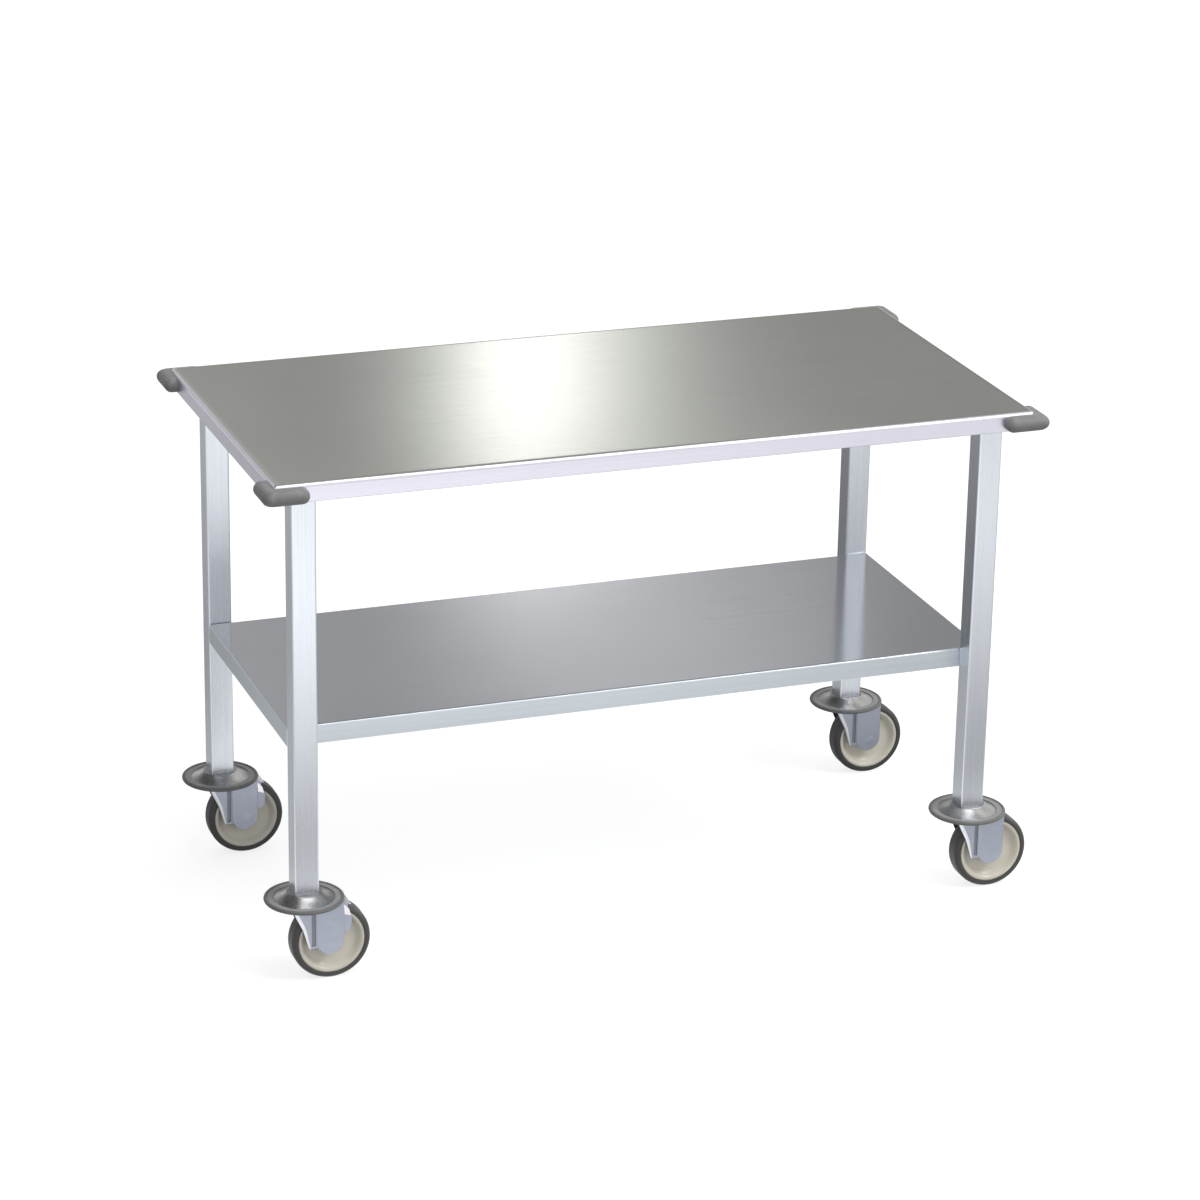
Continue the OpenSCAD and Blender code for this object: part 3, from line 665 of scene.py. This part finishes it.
folded_sheet("folded_top", "top_sheet", 6 * MM, 1.5 * MM, 15.5 * MM, 40 * MM, 8, MATERIALS["top_steel"],
    MATERIALS["edge_steel"])
folded_sheet("folded_shelf", "shelf_sheet", 3 * MM, 1.2 * MM, 13.2 * MM, 12 * MM, 6, MATERIALS["shelf_steel"],
    MATERIALS["shelf_edge_steel"])
print("top and shelf folded")

# %% [markdown]
# A leg is a square tube with small round corners. A bevelled box would look the same from the
# side, but rings joined into a closed tube also give a wall, an open end and a softened cut.

# %% Legs
def tube_leg(corner):
    node = f"leg_{corner}"
    low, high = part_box(node)
    centre, half = ((low.x + high.x) / 2, (low.y + high.y) / 2), (high.x - low.x) / 2
    radius, wall, soft = 3 * MM, 1.5 * MM, 0.4 * MM
    rings = [rounded_ring(half - soft, half - soft, radius - soft, low.z, centre),
        rounded_ring(half, half, radius, low.z + soft, centre),
        rounded_ring(half, half, radius, high.z, centre),
        rounded_ring(half - wall, half - wall, radius - wall, high.z, centre),
        rounded_ring(half - wall, half - wall, radius - wall, low.z, centre)]
    mesh = bmesh.new()
    loft(mesh, rings, closed=True)
    add_piece(f"square_leg_{corner}", mesh, "table", MATERIALS["leg_steel"], [node])


for corner in CORNERS:
    tube_leg(corner)
print("legs:", len(CORNERS))

# %% [markdown]
# A corner bumper is a bar of rubber with a flat back and a round face, bent round the corner.
# Sections along it run from the apron outwards, and shrink to nothing at its two round ends. The
# round corner is a quarter turn of such sections, and the second arm mirrors the first.

# %% Corner bumpers
def corner_bumper(corner):
    node = f"corner_bumper_{corner}"
    side_x, side_y = CORNERS[corner]
    low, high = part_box(node)
    top_low, top_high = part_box("top_sheet")
    half = (high.z - low.z) / 2
    middle_z = (high.z + low.z) / 2
    face = Vector((top_high.x if side_x > 0 else -top_low.x, top_high.y))
    reach = Vector((high.x if side_x > 0 else -low.x, high.y if side_y > 0 else -low.y))
    proud = reach.y - face.y
    nose = proud - half
    arm_end = (low.x if side_x > 0 else -high.x)
    arm = face.x - arm_end
    inner_r, outer_r = 6 * MM, half

    def stations():
        """(inner point, outer point, share of the full section) along the bumper."""
        turns = [math.radians(90 * k / 8) for k in range(9)]
        line = [(arm - half + half * math.cos(turn), math.sin(turn)) for turn in turns]
        corner_part = []
        for k in range(13):
            turn = math.radians(90 - 90 * k / 12)
            ray = Vector((math.cos(turn), math.sin(turn)))
            corner_part.append((face - Vector((inner_r, inner_r)) + inner_r * ray,
                face + Vector((nose, nose)) + outer_r * ray, 1.0))
        start = [(Vector((face.x - t, face.y)), Vector((face.x - t, reach.y)), s) for t, s in line]
        middle_x = [(Vector((face.x - (arm - half) * (1 - k / 4), face.y)),
            Vector((face.x - (arm - half) * (1 - k / 4) + (nose * k / 4), reach.y)), 1.0) for k in (1, 2, 3)]
        mirrored = [(Vector((face.x - face.y + p.y, face.y - face.x + p.x)),
            Vector((face.x - face.y + q.y, face.y - face.x + q.x)), s) for p, q, s in (start + middle_x)]
        return start + middle_x + corner_part + mirrored[::-1]

    section = [(0.0, -1.0), (0.45, -1.0)]
    section += [("nose", a) for a in range(-90, 91, 15)] + [(0.45, 1.0), (0.0, 1.0)]
    rings = []
    for inner, outer, share in stations():
        outward = outer - inner
        ring = []
        for one, two in section:
            if one == "nose":
                turn = math.radians(two)
                depth = nose + half * share * math.cos(turn)
                height = half * share * math.sin(turn)
            else:
                depth, height = one * nose, two * half * share
            point = inner + outward * (depth / proud)
            ring.append(Vector((side_x * point.x, side_y * point.y, middle_z + height)))
        rings.append(ring)
    mesh = bmesh.new()
    loft(mesh, rings)
    add_piece(f"rubber_corner_{corner}", mesh, "table", MATERIALS["bumper_rubber"], [node], 50)


for corner in CORNERS:
    corner_bumper(corner)
print("corner bumpers:", len(CORNERS))

# %% [markdown]
# The disc bumper is a pressed steel dish with a rubber ring on its rim. Both are turned shapes,
# so a profile spun round the leg's axis gives them, with a soft valley where they meet.

# %% Disc bumpers
LIP_WIDTH = 5.5 * MM


def disc_bumper(corner):
    dish, ring = f"disc_dish_{corner}", f"disc_ring_{corner}"
    low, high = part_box(dish)
    centre = Vector(((low.x + high.x) / 2, (low.y + high.y) / 2, 0))
    wall, rim = 1.5 * MM, (high.x - low.x) / 2
    bore, seat, valley = 6.1 * MM, 26.9 * MM, 47 * MM
    upper = [(bore, high.z), (seat - 1 * MM, high.z), (seat + 0.8 * MM, high.z - 0.5 * MM)]
    drop = high.z - wall - low.z
    steps = 8
    for k in range(1, steps + 1):
        share = k / steps
        eased = share + 0.10 * math.sin(math.pi * share)
        upper.append((seat + (valley - seat) * share, high.z - drop * min(1, max(0.06, eased))))
    upper.append((rim, low.z + wall))
    profile = upper + [(r, z - wall) for r, z in reversed(upper)]
    mesh = bmesh.new()
    lathe(mesh, profile, centre)
    add_piece(f"steel_dish_{corner}", mesh, "table", MATERIALS["dish_steel"], [dish], 40)

    low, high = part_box(ring)
    middle_z, outer, thick = (low.z + high.z) / 2, (high.x - low.x) / 2, (high.z - low.z) / 2
    groove, end, lip = 0.8 * MM, rim + 0.05 * MM, outer - LIP_WIDTH
    profile = arc((outer - thick, middle_z), thick, -90, 90, 12)
    profile += [(lip + 0.9 * MM, middle_z + thick), (lip + 0.3 * MM, middle_z + thick * 0.85)]
    profile += [(lip, middle_z + thick * 0.6)]
    profile += [(lip - 0.6 * MM, middle_z + thick * 0.66), (valley + 2.4 * MM, middle_z + thick * 0.66)]
    profile += arc((valley + 1.4 * MM, middle_z + groove + 0.2 * MM), 1.0 * MM, 90, 180, 3)
    profile += [(valley + 0.4 * MM, middle_z + groove), (end, middle_z + groove), (end, middle_z - groove),
        (valley + 0.4 * MM, middle_z - groove)]
    profile += arc((valley + 1.4 * MM, middle_z - groove - 0.9 * MM), 1.0 * MM, 180, 270, 3)
    profile += [(valley + 3 * MM, middle_z - thick * 0.72)]
    mesh = bmesh.new()
    lathe(mesh, profile, centre)
    for face in mesh.faces:
        at = face.calc_center_median() - centre
        face.material_index = 1 if math.hypot(at.x, at.y) < lip and at.z > middle_z + groove else 0
    piece = add_piece(f"rubber_ring_{corner}", mesh, "table", MATERIALS["ring_lip"], [ring], 50)
    piece.data.materials.append(MATERIALS["ring_face"])


for corner in CORNERS:
    disc_bumper(corner)
print("disc bumpers:", len(CORNERS))

# %% [markdown]
# A wheel has a dark tyre with round shoulders on a pale moulded hub. The hub's face is a dish
# with a rim, a deep hollow and a boss round the axle. Both are round, so a profile turned round
# the axle gives them, and a few more points in it make any curve softer.

# %% Wheels
# Points in millimetres: radius and depth inside the boss's end, then radius and distance from
# the wheel's middle plane
HUB_BOSS = [(8.05, 0.4), (8.5, 0), (13.4, 0), (14.4, 0.4), (15.0, 1.4)]
HUB_DISH = [(15.6, 8.2), (16.6, 6.9), (18.6, 6.2), (24.0, 5.8), (31.0, 5.7), (36.0, 5.8), (39.0, 6.3),
    (41.0, 7.4), (42.8, 9.2), (44.6, 11.4), (46.3, 13.4), (47.8, 14.7), (49.2, 15.3), (50.4, 15.4),
    (51.4, 15.3), (52.0, 15.0)]
SHOULDER, HUB_EDGE = 7 * MM, 14.6 * MM


def wheel(corner):
    tyre, hub = f"tyre_{corner}", f"wheel_hub_{corner}"
    low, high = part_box(tyre)
    centre = (low + high) / 2
    radius, half = (high.z - low.z) / 2, (high.y - low.y) / 2
    hub_low, hub_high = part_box(hub)
    hub_r, boss_half = (hub_high.z - hub_low.z) / 2, (hub_high.y - hub_low.y) / 2
    right = [(hub_r, half - 0.9 * MM), (hub_r + 0.3 * MM, half - 0.25 * MM), (hub_r + 1.0 * MM, half)]
    right += arc((radius - SHOULDER, half - SHOULDER), SHOULDER, 90, 0, 10)
    profile = right + [(r, -y) for r, y in reversed(right)]
    mesh = bmesh.new()
    lathe(mesh, profile, centre, "y", 128)
    add_piece(f"rubber_tyre_{corner}", mesh, f"wheel_{corner}", MATERIALS["tyre_rubber"],
        [tyre], 40)

    side = [(r * MM, boss_half - depth * MM) for r, depth in HUB_BOSS]
    side += [(r * MM, y * MM) for r, y in HUB_DISH] + [(hub_r, HUB_EDGE)]
    profile = side + [(r, -y) for r, y in reversed(side)]
    mesh = bmesh.new()
    lathe(mesh, profile, centre, "y", 128)
    add_piece(f"plastic_hub_{corner}", mesh, f"wheel_{corner}", MATERIALS["hub_plastic"],
        [hub], 30)


for corner in CORNERS:
    wheel(corner)
print("wheels:", len(CORNERS))

# %% [markdown]
# A fork is pressed from sheet. Seen from the side, each cheek has a rolled front edge, an upright
# flute and a raised panel with a round lower end. Level sections, stacked from the foot to the
# crown, carry that relief, because each one can follow the slanted edge and the round end.

# %% Fork cheeks
FORK_GAP_HALF, CHEEK, PANEL = 19 * MM, 2.5 * MM, 1.5 * MM
PAD_X, PAD_Z, PAD_R = 35 * MM, 66 * MM, 22 * MM
CROWN_LOW, CROWN_HIGH = 127.5 * MM, 130 * MM
FLUTE_LEFT, FLUTE_RIGHT, FLUTE_DEPTH = 5.5 * MM, 12 * MM, 1.25 * MM
FLUTE_LOW, FLUTE_HIGH = 59.4 * MM, 121.9 * MM
ROLL_WIDTH, ROLL_DROP = 6 * MM, 2.2 * MM
WEB_FOOT, ROLL_FULL = 56.3 * MM, 96 * MM
FRONT_EDGE = [(-21.9, 128.7), (-21.9, 118.1), (-7.5, 86.9), (1.25, 57.5), (2.2, 56.3)]
# Kinds of cheek faces: plain zinc, the rolled edge painted lighter as a painted highlight, and the flute
# floor painted darker as painted shade
FLAT, ROLLED, SHADED = 0, 1, 2


def front_edge(z):
    """X of a cheek's slanted front edge at a height."""
    for (x_high, z_high), (x_low, z_low) in zip(FRONT_EDGE, FRONT_EDGE[1:]):
        if z >= z_low * MM:
            share = (z - z_low * MM) / ((z_high - z_low) * MM)
            return (x_low + (x_high - x_low) * share) * MM
    return FRONT_EDGE[-1][0] * MM


def cheek_section(z, low_end, fluted):
    """Points (x, depth) of one level section: the outer face front to back, then the inner face."""
    half = PAD_R if z >= PAD_Z else math.sqrt(max(PAD_R ** 2 - (PAD_Z - z) ** 2, (1.5 * MM) ** 2))
    left, right = PAD_X - half, PAD_X + half
    edge = left - 0.3 * MM if low_end else front_edge(z)
    taper = 0.3 + 0.7 * min(max((z - WEB_FOOT) / (ROLL_FULL - WEB_FOOT), 0), 1)
    width = min(ROLL_WIDTH * taper, max(left - edge - 0.2 * MM, 0.1 * MM))
    drop = ROLL_DROP * (width / ROLL_WIDTH)
    outer = [(edge + width * (1 - math.cos(turn)), -drop * (1 - math.sin(turn)), ROLLED)
        for turn in (math.radians(90 * k / 6) for k in range(7))]
    deep = FLUTE_DEPTH if fluted else 0.0
    spots = ((FLUTE_LEFT, 0.0, FLAT), (FLUTE_LEFT + 0.7 * MM, -deep, SHADED),
        (FLUTE_RIGHT - 0.7 * MM, -deep, SHADED), (FLUTE_RIGHT, 0.0, FLAT))
    inside = edge + width
    for x, depth, kind in spots:
        outer.append((min(max(x, inside + 0.02 * MM), left - 0.02 * MM), depth, kind))
    outer += [(left, 0.0, FLAT), (left + 0.5 * MM, PANEL * 0.55, FLAT), (left + 1.3 * MM, PANEL, FLAT),
        (right - 1.3 * MM, PANEL, FLAT), (right - 0.4 * MM, PANEL * 0.6, FLAT), (right, 0.0, FLAT)]
    thick = [(right, -CHEEK, FLAT), (left, -CHEEK, FLAT), (edge + width, -CHEEK, FLAT)]
    thick += [(edge, -CHEEK - drop * 0.5, FLAT)]
    return outer + thick


def cheek(mesh, centre, side):
    """One cheek, from its foot up. A level is a height, whether it lies in the low end, and in the flute."""
    foot = [PAD_Z - PAD_R * math.sin(math.radians(90 - 65 * k / 8)) for k in range(9)]
    levels = [(z, True, False) for z in foot if z < WEB_FOOT]
    levels += [(WEB_FOOT, True, False), (WEB_FOOT, False, False)]
    levels += [(FLUTE_LOW, False, False), (FLUTE_LOW + 1.2 * MM, False, True)]
    levels += [(z * MM, False, True) for z in (63, 66, 72, 79.5, 86.9, 97, 107, 114, 118.1)]
    levels += [(FLUTE_HIGH - 1.2 * MM, False, True), (FLUTE_HIGH, False, False)]
    levels += [(CROWN_LOW + 0.6 * MM, False, False)]
    rings, kinds = [], []
    for z, low_end, fluted in levels:
        section = cheek_section(z, low_end, fluted)
        rings.append([centre + Vector((x, side * (FORK_GAP_HALF + CHEEK + depth), z))
            for x, depth, kind in section])
        kinds.append([kind for x, depth, kind in section])
    rows = [[mesh.verts.new(p) for p in ring] for ring in rings]
    count = len(rows[0])
    for level in range(len(rows) - 1):
        for i in range(count):
            j = (i + 1) % count
            face = mesh.faces.new((rows[level][i], rows[level][j], rows[level + 1][j], rows[level + 1][i]))
            # Faces in the flute get the darker zinc, painted shade. Faces of the rolled edge above the low
            # end get the lighter zinc, a painted highlight.
            both = {kinds[level + 1][i], kinds[level + 1][j]}
            if SHADED in both and levels[level + 1][2]:
                face.material_index = SHADED
            elif both == {ROLLED} and not levels[level][1]:
                face.material_index = ROLLED
    mesh.faces.new(rows[0][::-1])
    mesh.faces.new(rows[-1])


print("cheek helpers: front_edge, cheek_section, cheek")

# %% [markdown]
# The crown is the flat plate over the wheel that joins the cheeks and carries the lower ball race.
# It is an outline with a bevelled edge, and the race is a turned profile on top of it. They join
# the cheeks in one mesh, because the fork is one piece.

# %% Forks
# The lower ball race in millimetres: radius and height above the crown
RACE = [(6.1, -0.1), (25.4, -0.1), (26, 0.6), (26, 5.2), (25.2, 6), (21.8, 6), (20, 5.2), (18.2, 6), (6.1, 6)]


def fork(corner):
    node = f"fork_{corner}"
    axis = middle(f"caster_stem_{corner}")
    centre = Vector((axis.x, axis.y, 0))
    mesh = bmesh.new()
    for side in (-1, 1):
        cheek(mesh, centre, side)

    crown = bmesh.new()
    width = FORK_GAP_HALF + CHEEK + PANEL
    tail, corner_r, round_r = PAD_X + PAD_R, 8 * MM, 27 * MM
    outline = arc((tail - corner_r, width - corner_r), corner_r, 0, 90, 6)
    join = math.degrees(math.asin(width / round_r))
    outline += arc((0, 0), round_r, join, 360 - join, 36)
    outline += arc((tail - corner_r, corner_r - width), corner_r, 270, 360, 6)
    loft(crown, [[centre + Vector((x, y, z)) for x, y in outline] for z in (CROWN_LOW, CROWN_HIGH)])
    bevel_sharp(crown, 0.7 * MM, 25, 2)
    lathe(crown, [(r * MM, CROWN_HIGH + z * MM) for r, z in RACE], centre)
    data = bpy.data.meshes.new("crown")
    crown.to_mesh(data)
    crown.free()
    mesh.from_mesh(data)
    bpy.data.meshes.remove(data)
    piece = add_piece(f"pressed_fork_{corner}", mesh, f"caster_{corner}", MATERIALS["fork_zinc"],
        [node], 40)
    # The painted highlight for the rolled edge, then the painted shade for the flute
    piece.data.materials.append(MATERIALS["fork_edge"])
    piece.data.materials.append(MATERIALS["fork_shade"])


for corner in CORNERS:
    fork(corner)
print("forks:", len(CORNERS))

# %% [markdown]
# The axle and the brake's stub pins are riveted over, so all that shows of them is a low domed
# head on each cheek, in the fork's own zinc. One turned profile gives a rod with its heads.

# %% Axles and brake pins
DOME, CORE = 0.45 * MM, 0.05 * MM


def domed_end(radius, head_r, head_t, y):
    """Profile of a rod's end with a domed rivet head at y, from the rod to the middle of the dome."""
    turns = [math.radians(15 * k) for k in range(6)]
    dome = [(head_r * math.cos(turn), y + DOME * math.sin(turn)) for turn in turns]
    return [(radius, y - head_t), (head_r, y - head_t)] + dome + [(CORE, y + DOME)]


def riveted_axle(corner):
    node = f"axle_{corner}"
    low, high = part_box(node)
    right = domed_end(5 * MM, 8 * MM, 1.2 * MM, (high.y - low.y) / 2)
    mesh = bmesh.new()
    lathe(mesh, [(r, -y) for r, y in reversed(right)] + right, (low + high) / 2, "y", 48)
    add_piece(f"riveted_axle_{corner}", mesh, f"caster_{corner}", MATERIALS["fork_zinc"], [node])


def stub_pins(corner):
    node = f"brake_pin_{corner}"
    low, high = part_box(node)
    centre = (low + high) / 2
    outer = domed_end(3 * MM, 3.6 * MM, 0.3 * MM, (high.y - low.y) / 2)
    pin = [(CORE, 17 * MM), (3 * MM, 17 * MM)] + outer
    mesh = bmesh.new()
    for side in (-1, 1):
        lathe(mesh, [(r, side * y) for r, y in pin], centre, "y", 48)
    add_piece(f"stub_pins_{corner}", mesh, f"caster_{corner}", MATERIALS["fork_zinc"], [node])


for corner in CORNERS:
    riveted_axle(corner)
for corner in BRAKED:
    stub_pins(corner)
print("axles:", len(CORNERS), "pins:", len(BRAKED))

# %% [markdown]
# A brake pedal is a bent strip over the tyre between two ears. Each ear hangs inside a cheek on
# its pin, and its upper edge is folded outwards, so that a shoe finds it. The tread's top and the
# folded edges are the same sheet as the ears, painted near white as a painted highlight.
# Outlines made solid give the ears and the tread, a turned bead gives the rolled edge, and
# sections in a row give the folded one.

# %% Brake pedals
EAR_OUT, PEDAL_SHEET = 18.375 * MM, 1.5 * MM
TREAD_LOW, TREAD_HIGH, TREAD_START, TREAD_END = 65 * MM, 66.5 * MM, 64, 74
BEAD = 1.25 * MM
# Points in millimetres from the axle: the ear's rear edge, its front, and the wing's foot and top
EAR = [(8, 26), (21, 13), (24.4, 13.4), (27, 15.5), (29.2, 19.4), (30.5, 24), (31.3, 28.5), (31.5, 33),
    (31, 38.5), (29.8, 43), (27.6, 48), (25.6, 52), (24.8, 55.5), (25.6, 58.4)]
WING_FOOT = [(18.6, 44.6), (22, 43.8), (25.4, 42.8), (28.8, 41.4)]
WING_TOP = [(18.6, 59.5), (21.6, 57), (24.6, 53.8), (27.2, 50)]
EAR_FRONT, PIN_PLACE, PIN_ROUND = [(17.5, 60), (8, 44.2)], (5 * MM, 37.5 * MM), 7 * MM
WING_FOOT_OUT, WING_TOP_OUT, WING_HALF = 21.6 * MM, 18.2 * MM, 0.5 * MM
KNEE_IN, KNEE_DOWN = 2.6 * MM, 1.6 * MM


def brake_pedal(corner):
    node = f"brake_pedal_{corner}"
    centre = middle(f"axle_{corner}")
    mesh = bmesh.new()
    ear = [(x * MM, z * MM) for x, z in EAR]
    ear += arc((0, 0), TREAD_LOW + 0.4 * MM, TREAD_START + 2, TREAD_END, 6)
    ear += [(x * MM, z * MM) for x, z in EAR_FRONT] + arc(PIN_PLACE, PIN_ROUND, 100, 240, 10)
    tread = arc((0, 0), TREAD_HIGH, TREAD_START, TREAD_END, 8)
    tread += arc((0, 0), TREAD_LOW, TREAD_END, TREAD_START, 8)
    for side in (-1, 1):
        plate(mesh, ear, side * (EAR_OUT - PEDAL_SHEET), side * EAR_OUT, centre)
    plate(mesh, tread, -EAR_OUT, EAR_OUT, centre)
    bevel_sharp(mesh, 0.35 * MM, 40, 2)
    turn = math.radians(TREAD_START)
    at_bead = centre + (TREAD_LOW + TREAD_HIGH) / 2 * Vector((math.cos(turn), 0, math.sin(turn)))
    half = [(CORE, EAR_OUT), (BEAD - 0.4 * MM, EAR_OUT), (BEAD, EAR_OUT - 0.4 * MM)]
    lathe(mesh, [(r, -y) for r, y in half] + half[::-1], at_bead, "y", 24)
    # The tread's top and the top of its bead take the near-white second material, a painted highlight.
    for face in mesh.faces:
        at = face.calc_center_median() - centre
        face.material_index = 1 if math.hypot(at.x, at.z) > TREAD_HIGH - 0.5 * MM else 0
    for side in (-1, 1):
        rows = []
        for (x0, z0), (x1, z1) in zip(WING_FOOT, WING_TOP):
            foot = Vector((x0 * MM, side * WING_FOOT_OUT, z0 * MM))
            knee = foot - Vector((0, side * KNEE_IN, KNEE_DOWN))
            top = Vector((x1 * MM, side * WING_TOP_OUT, z1 * MM))
            sheet = Vector((0, side * WING_HALF, WING_HALF))
            rows.append([centre + p for p in (knee - sheet, foot + 0.2 * sheet, foot + sheet,
                (foot + top) / 2 + sheet, top + sheet, top - sheet, (foot + top) / 2 - sheet, foot - sheet)])
        before = set(mesh.faces)
        loft(mesh, rows)
        # The folded wings take the near-white material as well, a painted highlight.
        for face in set(mesh.faces) - before:
            face.material_index = 1
    piece = add_piece(f"foot_pedal_{corner}", mesh, f"pedal_{corner}", MATERIALS["fork_zinc"],
        [node], 40)
    piece.data.materials.append(MATERIALS["pedal_steel"])


for corner in BRAKED:
    brake_pedal(corner)
print("pedals:", len(BRAKED))
